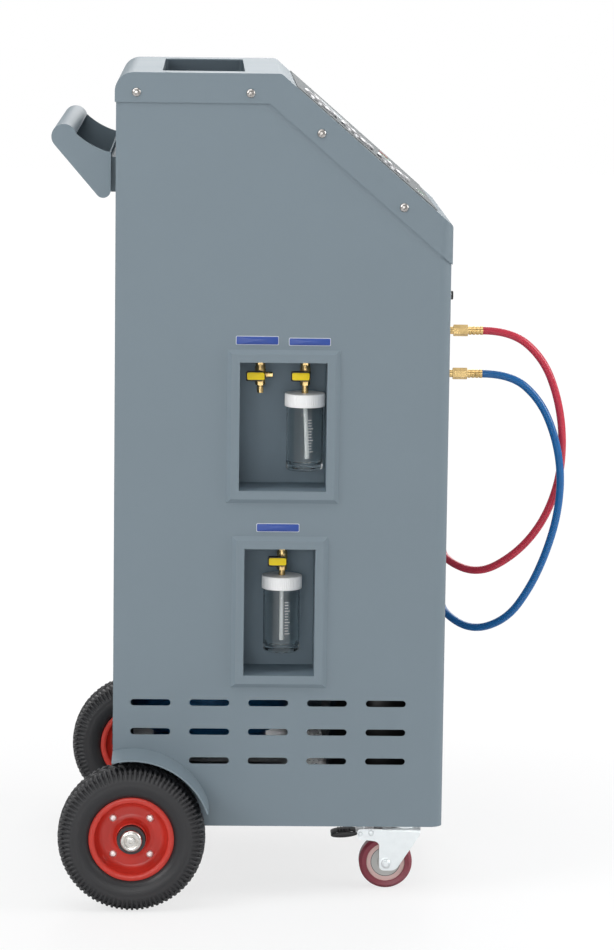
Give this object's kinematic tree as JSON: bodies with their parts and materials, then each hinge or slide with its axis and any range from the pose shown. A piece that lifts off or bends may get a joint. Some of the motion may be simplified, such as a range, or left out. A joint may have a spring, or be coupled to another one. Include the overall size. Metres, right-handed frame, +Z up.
{
  "type": "air conditioning recharge station",
  "caption": "Wheeled service cabinet with sloped gauge console, tool tray, bottle niches with ball valves, charging hoses, push handle, rear wheels and swivel casters",
  "frame": {"origin": "on the floor under the middle of the outline, hoses and couplers left out", "axes": "+X to the front panel where the hoses leave, +Y to the far side away from the bottle niches, +Z up"},
  "size_m": [0.7414, 0.6676, 1.15],
  "materials": {
    "cabinet_grey": "satin",
    "frame_grey": "satin",
    "tray_blue": "satin",
    "niche_slate": "satin",
    "brass": "plated",
    "lever_yellow": "satin",
    "cap_white": "matte",
    "bottle_clear": "clear",
    "console_film": "satin",
    "bright_chrome": "polished",
    "black_plastic": "matte",
    "key_green": "satin",
    "key_red": "satin",
    "hose_red": "satin",
    "hose_blue": "satin",
    "tyre_black": "matte",
    "rim_red": "gloss",
    "zinc": "plated",
    "tread_burgundy": "satin",
    "tank_blue": "gloss",
    "black_paint": "satin",
    "plain_aluminium": "plain",
    "copper_tone": "plain"
  },
  "bodies": {
    "cabinet": {"base_tray": "zinc", "left_side_panel": "cabinet_grey", "right_side_panel": "cabinet_grey", "front_panel": "cabinet_grey", "rear_panel": "cabinet_grey", "top_cover": "cabinet_grey", "tool_tray": "tray_blue", "push_handle": "cabinet_grey", "fenders": "cabinet_grey", "upper_niche": "niche_slate", "lower_niche": "niche_slate", "niche_frames": "frame_grey", "ball_valves": "brass", "bottle_caps": "cap_white", "console_panel": "console_film", "control_bezels": "bright_chrome", "mains_inlet": "black_plastic", "hose_couplings": "brass", "red_hose": "hose_red", "blue_hose": "hose_blue", "quick_couplers": "brass", "coupler_holder": "zinc", "rear_axle": "zinc", "caster_plates": "zinc", "refrigerant_tank": "tank_blue", "tank_scale": "plain_aluminium", "compressor": "black_paint", "vacuum_pump": "plain_aluminium", "condenser": "plain_aluminium", "manifold": "plain_aluminium", "equipment_shelf": "zinc", "filter_drier": "copper_tone", "power_unit": "black_paint"},
    "left_wheel": {"left_tyre": "tyre_black", "left_rim": "rim_red", "left_hub": "black_paint"},
    "left_caster": {"left_caster_fork": "zinc"},
    "left_roller": {"left_caster_wheel": "tread_burgundy"},
    "left_pedal": {"left_caster_brake": "zinc"},
    "right_wheel": {"right_tyre": "tyre_black", "right_rim": "rim_red", "right_hub": "black_paint"},
    "right_caster": {"right_caster_fork": "zinc"},
    "right_roller": {"right_caster_wheel": "tread_burgundy"},
    "right_pedal": {"right_caster_brake": "zinc"},
    "dye_lever": {"dye_valve_lever": "lever_yellow"},
    "oil_lever": {"oil_valve_lever": "lever_yellow"},
    "drain_lever": {"drain_valve_lever": "lever_yellow"},
    "fresh_bottle": {"fresh_oil_bottle": "bottle_clear"},
    "waste_bottle": {"waste_oil_bottle": "bottle_clear"},
    "low_needle": {"low_pressure_needle": "black_plastic"},
    "high_needle": {"high_pressure_needle": "black_plastic"},
    "tank_needle": {"tank_pressure_needle": "black_plastic"},
    "mode": {"mode_button": "black_plastic"},
    "start": {"start_key": "key_green"},
    "stop": {"stop_key": "key_red"},
    "power": {"power_button": "black_plastic"},
    "red_knob": {"red_coupler_knob": "hose_red"},
    "blue_knob": {"blue_coupler_knob": "hose_blue"},
    "fan": {"condenser_fan": "black_plastic"}
  },
  "joints": [
    {"name": "left_wheel_spin", "type": "hinge", "parent": "cabinet", "child": "left_wheel", "pos_m": [-0.16085, -0.297, 0.102], "axis": [0, 1, 0], "continuous": true},
    {"name": "left_caster_swivel", "type": "hinge", "parent": "cabinet", "child": "left_caster", "pos_m": [0.22145, -0.1725, 0.095], "axis": [0, 0, 1], "continuous": true},
    {"name": "left_caster_roll", "type": "hinge", "parent": "left_caster", "child": "left_roller", "pos_m": [0.19645, -0.1725, 0.0375], "axis": [0, 1, 0], "continuous": true},
    {"name": "left_brake_pedal_turn", "type": "hinge", "parent": "left_caster", "child": "left_pedal", "pos_m": [0.17545, -0.1725, 0.081], "axis": [0, -1, 0], "range_deg": [0, 12]},
    {"name": "right_wheel_spin", "type": "hinge", "parent": "cabinet", "child": "right_wheel", "pos_m": [-0.16085, 0.297, 0.102], "axis": [0, 1, 0], "continuous": true},
    {"name": "right_caster_swivel", "type": "hinge", "parent": "cabinet", "child": "right_caster", "pos_m": [0.22145, 0.1725, 0.095], "axis": [0, 0, 1], "continuous": true},
    {"name": "right_caster_roll", "type": "hinge", "parent": "right_caster", "child": "right_roller", "pos_m": [0.19645, 0.1725, 0.0375], "axis": [0, 1, 0], "continuous": true},
    {"name": "right_brake_pedal_turn", "type": "hinge", "parent": "right_caster", "child": "right_pedal", "pos_m": [0.17545, 0.1725, 0.081], "axis": [0, -1, 0], "range_deg": [0, 12]},
    {"name": "dye_valve_turn", "type": "hinge", "parent": "cabinet", "child": "dye_lever", "pos_m": [0.01145, -0.222, 0.7343], "axis": [0, -1, 0], "range_deg": [0, 90]},
    {"name": "oil_valve_turn", "type": "hinge", "parent": "cabinet", "child": "oil_lever", "pos_m": [0.07345, -0.222, 0.7343], "axis": [0, -1, 0], "range_deg": [0, 90]},
    {"name": "drain_valve_turn", "type": "hinge", "parent": "cabinet", "child": "drain_lever", "pos_m": [0.04445, -0.222, 0.4755], "axis": [0, -1, 0], "range_deg": [0, 90]},
    {"name": "fresh_bottle_unscrew", "type": "hinge", "parent": "cabinet", "child": "fresh_bottle", "pos_m": [0.07345, -0.21, 0.6495], "axis": [0, 0, 1], "range_deg": [0, 360]},
    {"name": "waste_bottle_unscrew", "type": "hinge", "parent": "cabinet", "child": "waste_bottle", "pos_m": [0.04445, -0.21, 0.394], "axis": [0, 0, 1], "range_deg": [0, 360]},
    {"name": "low_pressure_turn", "type": "hinge", "parent": "cabinet", "child": "low_needle", "pos_m": [0.09087, -0.15, 1.10401], "axis": [-0.6534, 0, -0.757], "range_deg": [0, 270]},
    {"name": "high_pressure_turn", "type": "hinge", "parent": "cabinet", "child": "high_needle", "pos_m": [0.14159, -0.15, 1.06023], "axis": [-0.6534, 0, -0.757], "range_deg": [0, 270]},
    {"name": "tank_pressure_turn", "type": "hinge", "parent": "cabinet", "child": "tank_needle", "pos_m": [0.19231, -0.15, 1.01646], "axis": [-0.6534, 0, -0.757], "range_deg": [0, 270]},
    {"name": "mode_press", "type": "slide", "parent": "cabinet", "child": "mode", "axis": [-0.6534, 0, -0.757], "range_m": [0, 0.0015], "stiffness_N_per_m": 400, "springref_m": -0.0005},
    {"name": "start_press", "type": "slide", "parent": "cabinet", "child": "start", "axis": [-0.6534, 0, -0.757], "range_m": [0, 0.0015], "stiffness_N_per_m": 400, "springref_m": -0.0005},
    {"name": "stop_press", "type": "slide", "parent": "cabinet", "child": "stop", "axis": [-0.6534, 0, -0.757], "range_m": [0, 0.0015], "stiffness_N_per_m": 400, "springref_m": -0.0005},
    {"name": "power_press", "type": "slide", "parent": "cabinet", "child": "power", "axis": [-1, 0, 0], "range_m": [0, 0.0015], "stiffness_N_per_m": 400, "springref_m": -0.0005},
    {"name": "red_coupler_turn", "type": "hinge", "parent": "cabinet", "child": "red_knob", "pos_m": [0.19145, 0.306, 0.719], "axis": [0, 1, 0], "range_deg": [0, 360]},
    {"name": "blue_coupler_turn", "type": "hinge", "parent": "cabinet", "child": "blue_knob", "pos_m": [0.13545, 0.306, 0.582], "axis": [0, 1, 0], "range_deg": [0, 360]},
    {"name": "condenser_fan_spin", "type": "hinge", "parent": "cabinet", "child": "fan", "pos_m": [-0.10855, 0.09, 0.712], "axis": [1, 0, 0], "continuous": true}
  ]
}
